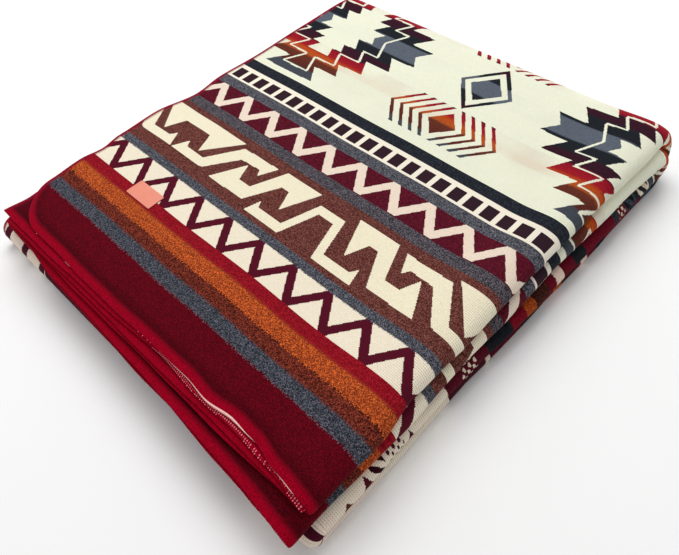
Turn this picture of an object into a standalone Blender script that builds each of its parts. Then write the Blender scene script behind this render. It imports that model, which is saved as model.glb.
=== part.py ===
"""A woven alpaca blanket folded in four across its width and in four along its length.

Units are metres and +Z is up. The stack lies on its underside with its origin at the middle
of its footprint. X runs from the selvedge side to the side of the four rolls, and Y from the
hemmed ends to the side of the big fold.

The cloth is one sheet. Each point of it has a distance across (0 at the selvedge on top), a
distance along (0 at the hem on top) and an offset from the middle of its thickness, which is
positive towards its good side.
"""

import bmesh
import bpy
import numpy as np

# The cloth and how its layers lie on each other.
CLOTH_THICKNESS = 0.0037
LAYER_PITCH = 0.0052
PANELS = 4
BUNDLE_PITCH = PANELS * LAYER_PITCH
SLACK = (LAYER_PITCH - CLOTH_THICKNESS) / 2

# The folded stack, from the top hem and the top selvedge to the outside of the folds.
STACK_WIDTH = 0.525
STACK_LENGTH = 0.628
INNER_FOLD_TUCK = 0.002
MIDDLE_FOLD_OVERHANG = 0.011

# The leather patch sewn near the top hem.
LABEL_SIZE = (0.0465, 0.0250)
LABEL_THICKNESS = 0.0014
LABEL_MIDDLE = (0.117, 0.1255)
LABEL_CORNER = 0.0012
SEWN_GAP = 0.00032

# Cells of the mesh along each flat run, and around each turn in the order of the folds.
ACROSS_CELLS = (7, 7, 7, 7)
ACROSS_TURN_CELLS = (8, 5, 5)
ALONG_CELLS = (13, 6, 6, 8)
ALONG_TURN_CELLS = (12, 8, 7)

# How far the selvedge side and the roll side of the four bundles lie off a straight stack.
# Along the cloth they come in the order top, lowest, third and second from the top.
SELVEDGE_DRIFT = (
    # along in stack lengths, towards the roll side
    (0.00, 0.000),
    (0.90, 0.002),
    (1.35, -0.006),
    (2.00, -0.038),
    (2.12, -0.036),
    (2.60, -0.008),
    (3.00, 0.000),
    (3.40, -0.006),
    (4.20, -0.014),
)
ROLL_DRIFT = (
    # along in stack lengths, outwards
    (0.00, 0.000),
    (0.15, 0.000),
    (0.22, -0.005),
    (0.60, -0.007),
    (0.95, -0.005),
    (1.12, 0.002),
    (1.35, 0.003),
    (1.75, 0.002),
    (1.92, 0.006),
    (2.13, 0.008),
    (2.30, 0.003),
    (2.60, 0.006),
    (3.00, 0.005),
    (3.15, 0.001),
    (3.35, -0.002),
    (3.60, -0.001),
    (3.80, 0.002),
    (3.95, 0.000),
    (4.20, -0.001),
)

# How far each hem lies off the line of the hems, at places across the cloth: panels 0 and 4
# are the selvedges, 1 and 3 the turns at the roll side, and 2 the fold at the back.
HEM_STEPS = (
    # panels from the top selvedge, top bundle, second bundle
    (0.00, 0.007, -0.004),
    (0.13, 0.008, -0.004),
    (0.21, 0.008, -0.009),
    (0.40, 0.008, -0.0135),
    (0.55, 0.009, -0.0145),
    (0.67, 0.010, -0.015),
    (0.73, 0.008, -0.0155),
    (0.80, 0.013, -0.0175),
    (0.85, 0.012, -0.0195),
    (0.92, 0.006, -0.022),
    (1.00, 0.002, -0.0245),
    (1.20, -0.003, -0.019),
    (1.50, -0.004, -0.013),
    (1.79, -0.004, -0.011),
    (1.87, -0.003, -0.005),
    (2.00, -0.003, -0.003),
    (2.13, -0.003, -0.005),
    (2.21, -0.002, -0.011),
    (2.50, -0.001, -0.013),
    (3.00, 0.000, -0.023),
    (3.10, 0.004, -0.020),
    (3.18, 0.006, -0.018),
    (3.27, 0.004, -0.016),
    (3.42, 0.009, -0.013),
    (3.60, 0.003, -0.012),
    (3.79, 0.001, -0.011),
    (3.87, 0.001, -0.005),
    (4.00, 0.001, -0.004),
)
HEM_REACH = 0.16

# The loose top corner, which is rounded.
CORNER_RADIUS = 0.060

# How the selvedge on top wanders from a straight line as it was laid down by hand.
SELVEDGE_EDGE = (
    # along, in from the straight line
    (0.00, 0.003),
    (0.06, 0.000),
    (0.11, -0.004),
    (0.14, 0.000),
    (0.17, -0.006),
    (0.23, -0.010),
    (0.29, 0.001),
    (0.34, -0.006),
    (0.40, -0.004),
    (0.50, -0.007),
    (0.57, -0.009),
    (0.62, -0.004),
    (0.66, -0.002),
)
SELVEDGE_REACH = 0.09

# How far the corner under the loose one sticks out past it, and how far along that fades.
UNDER_CORNER_OUT = 0.008
UNDER_CORNER_REACH = 0.035

# The shares of its height by which the stack is puffed up just inside its roll side, past the
# hems, and droops at its very edge and at its hems.
ROLL_PUFF = 0.050
ROLL_PUFF_INSIDE = 0.033
ROLL_PUFF_WIDTH = 0.040
ROLL_PUFF_FROM = 0.03
ROLL_PUFF_RISE = 0.16
ROLL_DROOP = 0.100
ROLL_DROOP_WIDTH = 0.032
HEM_DROOP = 0.05
HEM_DROOP_WIDTH = 0.05
LUMPS = (
    # share of the height, length across, length along, start across, start along
    (0.012, 0.47, 0.83, 0.06, 0.21),
    (0.008, 0.29, 0.38, 0.17, 0.02),
)


def ease(value):
    """Goes smoothly from 0 to 1 as value does, and stays there on either side."""
    held = np.clip(value, 0.0, 1.0)
    return held * held * (3.0 - 2.0 * held)


def between(table, column, place):
    """Reads a column of a table at a place, with soft steps between its rows."""
    rows = np.array(table)
    index = np.clip(np.searchsorted(rows[:, 0], place) - 1, 0, len(rows) - 2)
    start, end = rows[index], rows[index + 1]
    share = ease((place - start[..., 0]) / (end[..., 0] - start[..., 0]))
    return start[..., column] + share * (end[..., column] - start[..., column])


def runs_of(first, turn_side, turn_back):
    """The four flat runs of a sheet folded in half twice: from, to, and level from below."""
    return (
        (first, turn_side, 3),
        (turn_side, turn_back, 0),
        (turn_back, turn_side, 1),
        (turn_side, first, 2),
    )


ACROSS_RUNS = runs_of(
    0.0,
    STACK_WIDTH - 2 * LAYER_PITCH + SLACK,
    LAYER_PITCH - SLACK + INNER_FOLD_TUCK,
)
ALONG_RUNS = runs_of(
    0.0,
    STACK_LENGTH - 2 * BUNDLE_PITCH + SLACK,
    BUNDLE_PITCH - SLACK - MIDDLE_FOLD_OVERHANG,
)


def turn_radius(runs, turn, pitch):
    return abs(runs[turn + 1][2] - runs[turn][2]) * pitch / 2


def stations(runs, pitch, run_cells, turn_cells):
    """Distances along the sheet of the mesh's lines, closer together near each turn."""
    places = [0.0]
    for number, (start, end, _) in enumerate(runs):
        steps = np.arange(1, run_cells[number] + 1)
        shares = (1 - np.cos(np.pi * steps / run_cells[number])) / 2
        places.extend(places[-1] + abs(end - start) * shares)
        if number < len(turn_cells):
            cells = turn_cells[number]
            arc = np.pi * turn_radius(runs, number, pitch)
            places.extend(places[-1] + arc * np.arange(1, cells + 1) / cells)
    return np.array(places)


def fold(distance, offset, runs, pitch):
    """Lays a strip in its runs and half turns: gives the place along the fold and the height."""
    place = np.zeros_like(distance)
    height = np.zeros_like(distance)
    begin = 0.0
    good_side = 1
    for number, (start, end, level) in enumerate(runs):
        way = np.sign(end - start)
        length = abs(end - start)
        on_run = distance >= begin - 1e-9
        middle = (level + 0.5) * pitch
        place = np.where(on_run, start + way * (distance - begin), place)
        height = np.where(on_run, middle + good_side * offset, height)
        begin += length
        if number == len(runs) - 1:
            break
        radius = turn_radius(runs, number, pitch)
        rise = np.sign(runs[number + 1][2] - level)
        reach = radius - rise * good_side * offset
        angle = (distance - begin) / radius
        on_turn = distance >= begin
        place = np.where(on_turn, end + way * reach * np.sin(angle), place)
        height = np.where(on_turn, middle + rise * (radius - reach * np.cos(angle)), height)
        begin += np.pi * radius
        good_side = -good_side
    return place, height


def flat_length(runs, pitch):
    turns = sum(np.pi * turn_radius(runs, number, pitch) for number in range(len(runs) - 1))
    return turns + sum(abs(end - start) for start, end, _ in runs)


CLOTH_WIDTH = flat_length(ACROSS_RUNS, LAYER_PITCH)
CLOTH_LENGTH = flat_length(ALONG_RUNS, BUNDLE_PITCH)


def drift_sides(across, along, x):
    """Moves each layer towards the selvedge side or the roll side, as folded by hand."""
    share = np.clip(x / STACK_WIDTH, 0.0, 1.0)
    drifted = (1 - share) * between(SELVEDGE_DRIFT, 1, along / STACK_LENGTH)
    drifted += share * between(ROLL_DRIFT, 1, along / STACK_LENGTH)
    near = ease(1 - across / SELVEDGE_REACH) * (along < 1.4 * STACK_LENGTH)
    near_other = ease(1 - (CLOTH_WIDTH - across) / SELVEDGE_REACH)
    flare = UNDER_CORNER_OUT * near_other * ease(1 - along / UNDER_CORNER_REACH)
    return drifted + near * between(SELVEDGE_EDGE, 1, along) - flare


def step_hems(across, along):
    """Moves the hems out of line with each other, less and less away from them."""
    panels = across * PANELS / CLOTH_WIDTH
    top = between(HEM_STEPS, 1, panels) * ease(1 - along / HEM_REACH)
    second = between(HEM_STEPS, 2, panels) * ease(1 - (CLOTH_LENGTH - along) / HEM_REACH)
    return top + second


def round_corner(across, along):
    """How far in from the selvedge and from the hem the loose corner's points lie."""
    side = np.clip(1 - across / CORNER_RADIUS, 0.0, 1.0)
    end = np.clip(1 - along / CORNER_RADIUS, 0.0, 1.0)
    from_selvedge = side * (1 - np.sqrt(1 - end * end / 2))
    from_hem = end * (1 - np.sqrt(1 - side * side / 2))
    return CORNER_RADIUS * from_selvedge, CORNER_RADIUS * from_hem


def settle(x, y):
    """The share of its height that the stack keeps at a place, with its soft lumps."""
    from_roll = STACK_WIDTH - x
    kept = 1 - ROLL_DROOP * np.clip(1 - from_roll / ROLL_DROOP_WIDTH, 0.0, 1.2) ** 2
    puff = np.exp(-(((from_roll - ROLL_PUFF_INSIDE) / ROLL_PUFF_WIDTH) ** 2))
    kept += ROLL_PUFF * puff * ease((y - ROLL_PUFF_FROM) / ROLL_PUFF_RISE)
    kept -= HEM_DROOP * ease(1 - y / HEM_DROOP_WIDTH)
    from_label = np.hypot(x - LABEL_MIDDLE[0], y - LABEL_MIDDLE[1])
    clear = ease((from_label - LABEL_SIZE[0]) / LABEL_SIZE[0] / 2)
    for share, length_x, length_y, start_x, start_y in LUMPS:
        wave = np.sin(2 * np.pi * (x - start_x) / length_x)
        wave = wave * np.sin(2 * np.pi * (y - start_y) / length_y)
        kept += clear * share * wave
    return kept


def lay(across, along, offset):
    """Places points of the cloth in the folded stack, with its underside at height 0."""
    x, in_bundle = fold(across, offset, ACROSS_RUNS, LAYER_PITCH)
    from_middle = in_bundle - BUNDLE_PITCH / 2
    y, height = fold(along, from_middle, ALONG_RUNS, BUNDLE_PITCH)
    from_selvedge, from_hem = round_corner(across, along)
    x = x + drift_sides(across, along, x) + from_selvedge
    y = y + step_hems(across, along) + from_hem
    z = (height - SLACK) * settle(x, y)
    return np.stack((x, y, z), axis=-1)


def vertices_of(mesh):
    points = np.empty(len(mesh.vertices) * 3)
    mesh.vertices.foreach_get("co", points)
    return points.reshape(-1, 3)


def move_vertices(mesh, points):
    mesh.vertices.foreach_set("co", points.ravel())
    mesh.update()


def slab(name, mesh, thickness, material, collection):
    """Gives a flat sheet its thickness, half on each side, and makes it an object."""
    flat = bpy.data.objects.new(name + "_flat", mesh)
    collection.objects.link(flat)
    solidify = flat.modifiers.new("thickness", "SOLIDIFY")
    solidify.thickness = thickness
    solidify.offset = 0.0
    graph = bpy.context.evaluated_depsgraph_get()
    solid = bpy.data.meshes.new_from_object(flat.evaluated_get(graph))
    bpy.data.objects.remove(flat)
    bpy.data.meshes.remove(mesh)
    solid.name = name
    solid.materials.clear()
    solid.materials.append(material)
    made = bpy.data.objects.new(name, solid)
    collection.objects.link(made)
    return made


def plain_material(name, colour, roughness):
    material = bpy.data.materials.new(name)
    material.use_nodes = True
    shader = material.node_tree.nodes["Principled BSDF"]
    shader.inputs["Base Color"].default_value = (*colour, 1.0)
    shader.inputs["Roughness"].default_value = roughness
    shader.inputs["Metallic"].default_value = 0.0
    return material


def flat_grid(name, lines_x, lines_y):
    """A flat grid whose lines stand at the given distances."""
    grid = bmesh.new()
    columns, rows = len(lines_x), len(lines_y)
    bmesh.ops.create_grid(grid, x_segments=columns - 1, y_segments=rows - 1, size=0.5)
    for vertex in grid.verts:
        column = round((vertex.co.x + 0.5) * (columns - 1))
        row = round((vertex.co.y + 0.5) * (rows - 1))
        vertex.co = (lines_x[column], lines_y[row], 0.0)
    mesh = bpy.data.meshes.new(name)
    grid.to_mesh(mesh)
    grid.free()
    return mesh


def make_blanket(collection):
    """The cloth with its overlocked edge, as one folded solid."""
    across = stations(ACROSS_RUNS, LAYER_PITCH, ACROSS_CELLS, ACROSS_TURN_CELLS)
    along = stations(ALONG_RUNS, BUNDLE_PITCH, ALONG_CELLS, ALONG_TURN_CELLS)
    wool = plain_material("brushed alpaca weave", (0.30, 0.035, 0.045), 0.9)
    blanket = slab(
        "blanket", flat_grid("cloth", across, along), CLOTH_THICKNESS, wool, collection
    )
    flat = vertices_of(blanket.data)
    move_vertices(blanket.data, lay(flat[:, 0], flat[:, 1], flat[:, 2]))
    blanket.data.shade_smooth()
    blanket.data.set_sharp_from_angle(angle=np.radians(50))
    return blanket


def make_label(collection):
    """The leather patch, cut with small round corners and sewn flat on the top layer."""
    width, length = LABEL_SIZE
    outline = bmesh.new()
    bmesh.ops.create_grid(outline, x_segments=1, y_segments=1, size=0.5)
    for vertex in outline.verts:
        vertex.co = (width * vertex.co.x, length * vertex.co.y, 0.0)
    bmesh.ops.bevel(
        outline,
        geom=outline.verts[:],
        offset=LABEL_CORNER,
        segments=3,
        profile=0.5,
        affect="VERTICES",
    )
    mesh = bpy.data.meshes.new("patch")
    outline.to_mesh(mesh)
    outline.free()
    leather = plain_material("salmon leather", (0.72, 0.26, 0.17), 0.55)
    label = slab("label", mesh, LABEL_THICKNESS, leather, collection)
    flat = vertices_of(label.data)
    above_cloth = (CLOTH_THICKNESS + LABEL_THICKNESS) / 2 + SEWN_GAP
    across = flat[:, 0] + LABEL_MIDDLE[0]
    along = flat[:, 1] + LABEL_MIDDLE[1]
    move_vertices(label.data, lay(across, along, flat[:, 2] + above_cloth))
    return label


def stand_on_origin(objects):
    """Moves the meshes so that the middle of the stack's footprint is the origin."""
    points = vertices_of(objects[0].data)
    middle = (points.min(axis=0) + points.max(axis=0)) / 2
    shift = np.array((middle[0], middle[1], points[:, 2].min()))
    for thing in objects:
        move_vertices(thing.data, vertices_of(thing.data) - shift)


for thing in list(bpy.data.objects):
    bpy.data.objects.remove(thing)

parts = bpy.data.collections.new("alpaca blanket")
bpy.context.scene.collection.children.link(parts)
stand_on_origin([make_blanket(parts), make_label(parts)])
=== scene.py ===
"""The looks of a woven alpaca blanket, folded in four across and then in four along."""

import bpy
import numpy as np
from mathutils import Matrix, Vector


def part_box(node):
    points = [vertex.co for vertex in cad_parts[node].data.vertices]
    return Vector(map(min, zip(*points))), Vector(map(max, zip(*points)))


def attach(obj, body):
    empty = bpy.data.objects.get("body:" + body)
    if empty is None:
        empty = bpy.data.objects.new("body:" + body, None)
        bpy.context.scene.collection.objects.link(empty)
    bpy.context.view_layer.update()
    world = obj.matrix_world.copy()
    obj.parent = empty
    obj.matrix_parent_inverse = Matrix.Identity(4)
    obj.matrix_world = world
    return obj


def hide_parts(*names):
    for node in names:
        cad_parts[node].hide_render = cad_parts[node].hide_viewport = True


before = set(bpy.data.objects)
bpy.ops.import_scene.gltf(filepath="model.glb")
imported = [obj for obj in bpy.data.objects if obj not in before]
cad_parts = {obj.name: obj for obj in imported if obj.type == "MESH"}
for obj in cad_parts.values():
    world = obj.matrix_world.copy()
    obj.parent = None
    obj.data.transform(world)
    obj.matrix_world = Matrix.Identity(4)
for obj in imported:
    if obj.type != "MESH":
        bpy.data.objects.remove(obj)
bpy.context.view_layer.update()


# The blanket: double-faced jacquard cloth of brushed alpaca and wool, 2.09 m wide, cut 2.49 m long
# and folded in four each way. A place on it is across from the top selvedge, along from the top
# hem, and an offset from the middle of its thickness towards its good side.
CLOTH_THICKNESS = 0.0037
LAYER_PITCH = 0.0052
PANELS = 4
BUNDLE_PITCH = PANELS * LAYER_PITCH
SLACK = (LAYER_PITCH - CLOTH_THICKNESS) / 2
STACK_WIDTH = 0.525
STACK_LENGTH = 0.628
INNER_FOLD_TUCK = 0.002
MIDDLE_FOLD_OVERHANG = 0.011

# The overlocking is wider over the cut ends than along the selvedges. The edge is rounded over
# its last millimetres, and a little fuller under the thread.
HEM_OVERLOCK = 0.0095
SELVEDGE_OVERLOCK = 0.0075
EDGE_ROUND = 0.0078
EDGE_FULLNESS = 0.16

# Cells of the mesh along each flat run, around each turn, and over each rounded edge.
ACROSS_CELLS = (82, 22, 20, 24)
ACROSS_TURN_CELLS = (12, 6, 8)
ALONG_CELLS = (98, 26, 24, 30)
ALONG_TURN_CELLS = (20, 12, 12)
EDGE_STATIONS = (0.0002, 0.0010, 0.0024, 0.0044, 0.0070, 0.0100)

# How far the selvedge side and the roll side of the four bundles lie off a straight stack.
SELVEDGE_DRIFT = (
    # along in stack lengths, towards the roll side
    (0.00, 0.000), (0.90, 0.002), (1.35, -0.006), (2.00, -0.038), (2.12, -0.036),
    (2.60, -0.008), (3.00, 0.000), (3.40, -0.006), (4.20, -0.014),
)
ROLL_DRIFT = (
    # along in stack lengths, outwards
    (0.00, 0.000), (0.15, 0.000), (0.22, -0.005), (0.60, -0.007), (0.95, -0.005),
    (1.12, 0.002), (1.35, 0.003), (1.75, 0.002), (1.92, 0.006), (2.13, 0.008),
    (2.30, 0.003), (2.60, 0.006), (3.00, 0.005), (3.15, 0.001), (3.35, -0.002),
    (3.60, -0.001), (3.80, 0.002), (3.95, 0.000), (4.20, -0.001),
)

# How far each hem lies off the line of the hems. Panels 0 and 4 are the selvedges, 1 and 3 the
# turns at the roll side, and 2 the fold at the back.
HEM_STEPS = (
    # panels from the top selvedge, top bundle, second bundle
    (0.00, 0.007, -0.004), (0.13, 0.008, -0.004), (0.21, 0.008, -0.009),
    (0.40, 0.008, -0.0135), (0.55, 0.009, -0.0145), (0.67, 0.010, -0.015),
    (0.73, 0.008, -0.0155), (0.80, 0.013, -0.0175), (0.85, 0.012, -0.0195),
    (0.92, 0.006, -0.022), (1.00, 0.002, -0.0245), (1.20, -0.003, -0.019),
    (1.50, -0.004, -0.013), (1.79, -0.004, -0.011), (1.87, -0.003, -0.005),
    (2.00, -0.003, -0.003), (2.13, -0.003, -0.005), (2.21, -0.002, -0.011),
    (2.50, -0.001, -0.013), (3.00, 0.000, -0.023), (3.10, 0.004, -0.020),
    (3.18, 0.006, -0.018), (3.27, 0.004, -0.016), (3.42, 0.009, -0.013),
    (3.60, 0.003, -0.012), (3.79, 0.001, -0.011), (3.87, 0.001, -0.005),
    (4.00, 0.001, -0.004),
)
HEM_REACH = 0.16

# The rounded loose corner on top, and the wandering selvedge.
CORNER_RADIUS = 0.060
SELVEDGE_EDGE = (
    # along, in from the straight line
    (0.00, 0.003), (0.06, 0.000), (0.11, -0.004), (0.14, 0.000), (0.17, -0.006),
    (0.23, -0.010), (0.29, 0.001), (0.34, -0.006), (0.40, -0.004), (0.50, -0.007),
    (0.57, -0.009), (0.62, -0.004), (0.66, -0.002),
)
SELVEDGE_REACH = 0.09

# How far the corner under the loose one sticks out past it, and how far along that fades.
UNDER_CORNER_OUT = 0.008
UNDER_CORNER_REACH = 0.035

# The shares of its height by which the stack is puffed up just inside its roll side and droops at
# its edge and hems. Then the long lumps of its top, and the soft troughs that the hand left.
ROLL_PUFF = 0.050
ROLL_PUFF_INSIDE = 0.033
ROLL_PUFF_WIDTH = 0.040
ROLL_PUFF_FROM = 0.03
ROLL_PUFF_RISE = 0.16
ROLL_DROOP = 0.100
ROLL_DROOP_WIDTH = 0.032
HEM_DROOP = 0.05
HEM_DROOP_WIDTH = 0.05
LUMPS = (
    # share of the height, length across, length along, start across, start along
    (0.012, 0.47, 0.83, 0.06, 0.21),
    (0.008, 0.29, 0.38, 0.17, 0.02),
)
TROUGHS = (
    # from x, from y, to x, to y, width, share of the height
    (0.452, 0.270, 0.470, 0.470, 0.022, 0.022),
    (0.330, 0.050, 0.470, 0.105, 0.020, 0.014),
    (0.060, 0.205, 0.030, 0.330, 0.020, 0.014),
    (0.395, 0.520, 0.500, 0.565, 0.024, 0.012),
)

# How much flatter the layers of the two hemmed bundles lie on each other at their hems, and the
# small waves that each edge keeps from the loom and from handling.
HEM_SQUEEZE = 0.12
HEM_SQUEEZE_REACH = 0.10
HEM_WAVES = (
    # height of the wave, its length across the cloth, where it starts
    (0.0006, 0.231, 0.02),
    (0.0003, 0.083, 0.01),
)
ROLL_WAVES = (
    # height of the wave, its length along the cloth, where it starts
    (0.0006, 0.153, 0.03),
    (0.0003, 0.067, 0.00),
)
WAVE_REACH = 0.05


def ease(value):
    """Goes from 0 to 1 as value does by three squares less two cubes, and stays there outside."""
    held = np.clip(value, 0.0, 1.0)
    return held * held * (3.0 - 2.0 * held)


def between(table, column, place):
    """Reads a column of a table at a place: from row to row it goes by the ease curve."""
    rows = np.array(table)
    index = np.clip(np.searchsorted(rows[:, 0], place) - 1, 0, len(rows) - 2)
    start, end = rows[index], rows[index + 1]
    share = ease((place - start[..., 0]) / (end[..., 0] - start[..., 0]))
    return start[..., column] + share * (end[..., column] - start[..., column])


def waves(table, place):
    """Adds up sine waves: each row's height times the sine of the turns since its start."""
    return sum(height * np.sin(2 * np.pi * (place - start) / length) for height, length, start in table)


def runs_of(side, back):
    """The four flat runs of a sheet folded in half twice: from, to, and level from below."""
    return (0.0, side, 3), (side, back, 0), (back, side, 1), (side, 0.0, 2)


ACROSS_RUNS = runs_of(
    STACK_WIDTH - 2 * LAYER_PITCH + SLACK, LAYER_PITCH - SLACK + INNER_FOLD_TUCK
)
ALONG_RUNS = runs_of(
    STACK_LENGTH - 2 * BUNDLE_PITCH + SLACK, BUNDLE_PITCH - SLACK - MIDDLE_FOLD_OVERHANG
)


def turn_radius(runs, turn, pitch):
    """Half the height between the two levels that a half turn joins."""
    return abs(runs[turn + 1][2] - runs[turn][2]) * pitch / 2


def stations(runs, pitch, run_cells, turn_cells):
    """Distances of the mesh's lines: even ones and cosine ones averaged on each run, and even
    ones around each turn, with closer ones over the two rounded edges."""
    places = [0.0]
    for number, (start, end, _) in enumerate(runs):
        steps = np.arange(1, run_cells[number] + 1) / run_cells[number]
        shares = (steps + (1 - np.cos(np.pi * steps)) / 2) / 2
        places.extend(places[-1] + abs(end - start) * shares)
        if number < len(turn_cells):
            arc = np.pi * turn_radius(runs, number, pitch)
            places.extend(places[-1] + arc * np.arange(1, turn_cells[number] + 1) / turn_cells[number])
    places = np.array(places)
    edge = np.array(EDGE_STATIONS)
    inner = places[(places > edge[-1] * 1.3) & (places < places[-1] - edge[-1] * 1.3)]
    return np.concatenate(([0.0], edge, inner, places[-1] - edge[::-1], places[-1:]))


def fold(distance, offset, runs, pitch):
    """Lays a strip in its runs and half turns. On a run the place is the start plus the distance,
    and on a turn it is the end plus the radius, less or plus the offset, times the sine of the
    angle, with the height following its cosine. Gives the place and the height."""
    place = np.zeros_like(distance)
    height = np.zeros_like(distance)
    begin = 0.0
    good_side = 1
    for number, (start, end, level) in enumerate(runs):
        way = np.sign(end - start)
        on_run = distance >= begin - 1e-9
        middle = (level + 0.5) * pitch
        place = np.where(on_run, start + way * (distance - begin), place)
        height = np.where(on_run, middle + good_side * offset, height)
        begin += abs(end - start)
        if number == len(runs) - 1:
            break
        radius = turn_radius(runs, number, pitch)
        rise = np.sign(runs[number + 1][2] - level)
        reach = radius - rise * good_side * offset
        angle = (distance - begin) / radius
        on_turn = distance >= begin
        place = np.where(on_turn, end + way * reach * np.sin(angle), place)
        height = np.where(on_turn, middle + rise * (radius - reach * np.cos(angle)), height)
        begin += np.pi * radius
        good_side = -good_side
    return place, height


def flat_length(runs, pitch):
    """The length of the strip before it is folded: its runs and its half turns."""
    turns = sum(np.pi * turn_radius(runs, number, pitch) for number in range(len(runs) - 1))
    return turns + sum(abs(end - start) for start, end, _ in runs)


CLOTH_WIDTH = flat_length(ACROSS_RUNS, LAYER_PITCH)
CLOTH_LENGTH = flat_length(ALONG_RUNS, BUNDLE_PITCH)


def corner_shares(across, along):
    """Shares of the corner's radius from its inner sides, before and after the square at the
    corner is drawn into a quarter disc: each times the root of one less half the other's
    square."""
    side = np.clip(1 - across / CORNER_RADIUS, 0.0, 1.0)
    end = np.clip(1 - along / CORNER_RADIUS, 0.0, 1.0)
    return side, end, side * np.sqrt(1 - end * end / 2), end * np.sqrt(1 - side * side / 2)


def round_corner(across, along):
    """How far in from the selvedge and from the hem the loose corner's points are drawn."""
    side, end, drawn_side, drawn_end = corner_shares(across, along)
    return CORNER_RADIUS * (side - drawn_side), CORNER_RADIUS * (end - drawn_end)


def stitched_edge(across, along):
    """The distance to the nearest edge, the same as a share of the overlocking's width there,
    and how far that edge is a hem. In the round corner the distance is taken from the arc, and
    selvedge turns into hem with the square of the sine around it."""
    from_selvedge = np.minimum(across, CLOTH_WIDTH - across)
    from_hem = np.minimum(along, CLOTH_LENGTH - along)
    side, end, drawn_side, drawn_end = corner_shares(across, along)
    reach = np.hypot(drawn_side, drawn_end)
    in_corner = (side > 0) & (end > 0)
    distance = np.where(in_corner, CORNER_RADIUS * (1 - reach), np.minimum(from_selvedge, from_hem))
    hem_share, selvedge_share = from_hem / HEM_OVERLOCK, from_selvedge / SELVEDGE_OVERLOCK
    hemward = (hem_share < selvedge_share) * 1.0
    hemward = np.where(in_corner, (drawn_end / np.maximum(reach, 1e-6)) ** 2, hemward)
    width = SELVEDGE_OVERLOCK + (HEM_OVERLOCK - SELVEDGE_OVERLOCK) * hemward
    return distance, distance / width, hemward


def wander_selvedge(across, along):
    """How far in the selvedges lie: on top by its table, and under it out by the flare of the
    corner, both fading over the cloth next to them."""
    near = ease(1 - across / SELVEDGE_REACH) * (along < 1.4 * STACK_LENGTH)
    near_other = ease(1 - (CLOTH_WIDTH - across) / SELVEDGE_REACH)
    flare = UNDER_CORNER_OUT * near_other * ease(1 - along / UNDER_CORNER_REACH)
    return near * between(SELVEDGE_EDGE, 1, along) - flare


def drift_sides(along, x):
    """Moves each layer sideways: the two side columns of the table, shared out by x, and the
    waves of the roll side."""
    share = np.clip(x / STACK_WIDTH, 0.0, 1.0)
    drifted = (1 - share) * between(SELVEDGE_DRIFT, 1, along / STACK_LENGTH)
    drifted += share * between(ROLL_DRIFT, 1, along / STACK_LENGTH)
    return drifted + ease(1 - (STACK_WIDTH - x) / WAVE_REACH) * waves(ROLL_WAVES, along)


def step_hems(across, along):
    """Moves the hems out of line: each column of the table and its waves, eased away inwards."""
    panels = across * PANELS / CLOTH_WIDTH
    first = between(HEM_STEPS, 1, panels) * ease(1 - along / HEM_REACH)
    second = between(HEM_STEPS, 2, panels) * ease(1 - (CLOTH_LENGTH - along) / HEM_REACH)
    from_hem = np.minimum(along, CLOTH_LENGTH - along)
    return first, second, ease(1 - from_hem / WAVE_REACH) * waves(HEM_WAVES, across + along / 7)


def settle(x, y):
    """The share of its height that the stack keeps: one, less a parabola at the rolls and an
    eased droop towards the hems, plus a bell curve just inside the rolls and long sine lumps,
    less a bell curve across each trough that fades at the trough's ends."""
    from_roll = STACK_WIDTH - x
    kept = 1 - ROLL_DROOP * np.clip(1 - from_roll / ROLL_DROOP_WIDTH, 0.0, 1.2) ** 2
    puff = np.exp(-(((from_roll - ROLL_PUFF_INSIDE) / ROLL_PUFF_WIDTH) ** 2))
    kept += ROLL_PUFF * puff * ease((y - ROLL_PUFF_FROM) / ROLL_PUFF_RISE)
    kept -= HEM_DROOP * ease(1 - y / HEM_DROOP_WIDTH)
    for share, length_x, length_y, start_x, start_y in LUMPS:
        wave = np.sin(2 * np.pi * (x - start_x) / length_x)
        kept += share * wave * np.sin(2 * np.pi * (y - start_y) / length_y)
    for from_x, from_y, to_x, to_y, width, share in TROUGHS:
        length = np.hypot(to_x - from_x, to_y - from_y)
        way_x, way_y = (to_x - from_x) / length, (to_y - from_y) / length
        forward = ((x - from_x) * way_x + (y - from_y) * way_y) / length
        aside = (x - from_x) * way_y - (y - from_y) * way_x
        ends = ease(2.5 * forward) * ease(2.5 * (1 - forward))
        kept -= share * ends * np.exp(-((aside / width) ** 2))
    return kept


def lay(across, along, offset):
    """Places points of the cloth in the folded stack: the fold across gives x and the height in
    the bundle, which is the offset of the fold along, and all heights are scaled as they settle."""
    x, in_bundle = fold(across, offset, ACROSS_RUNS, LAYER_PITCH)
    near_hem = ease(1 - np.minimum(along, CLOTH_LENGTH - along) / HEM_SQUEEZE_REACH)
    from_middle = (in_bundle - BUNDLE_PITCH / 2) * (1 - HEM_SQUEEZE * near_hem)
    y, height = fold(along, from_middle, ALONG_RUNS, BUNDLE_PITCH)
    from_selvedge, from_hem = round_corner(across, along)
    x = x + drift_sides(along, x) + wander_selvedge(across, along) + from_selvedge
    y = y + sum(step_hems(across, along)) + from_hem
    z = (height - SLACK) * settle(x, y)
    return np.stack((x, y, z), axis=-1)


def half_thickness(from_edge):
    """A quarter circle over the rounded edge, then the plain half, fuller under the thread."""
    rounded = np.sqrt(1 - (1 - np.clip(from_edge / EDGE_ROUND, 0, 1)) ** 2)
    fuller = EDGE_FULLNESS * ease(1 - from_edge / HEM_OVERLOCK)
    return CLOTH_THICKNESS / 2 * rounded * (1 + fuller)


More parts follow.
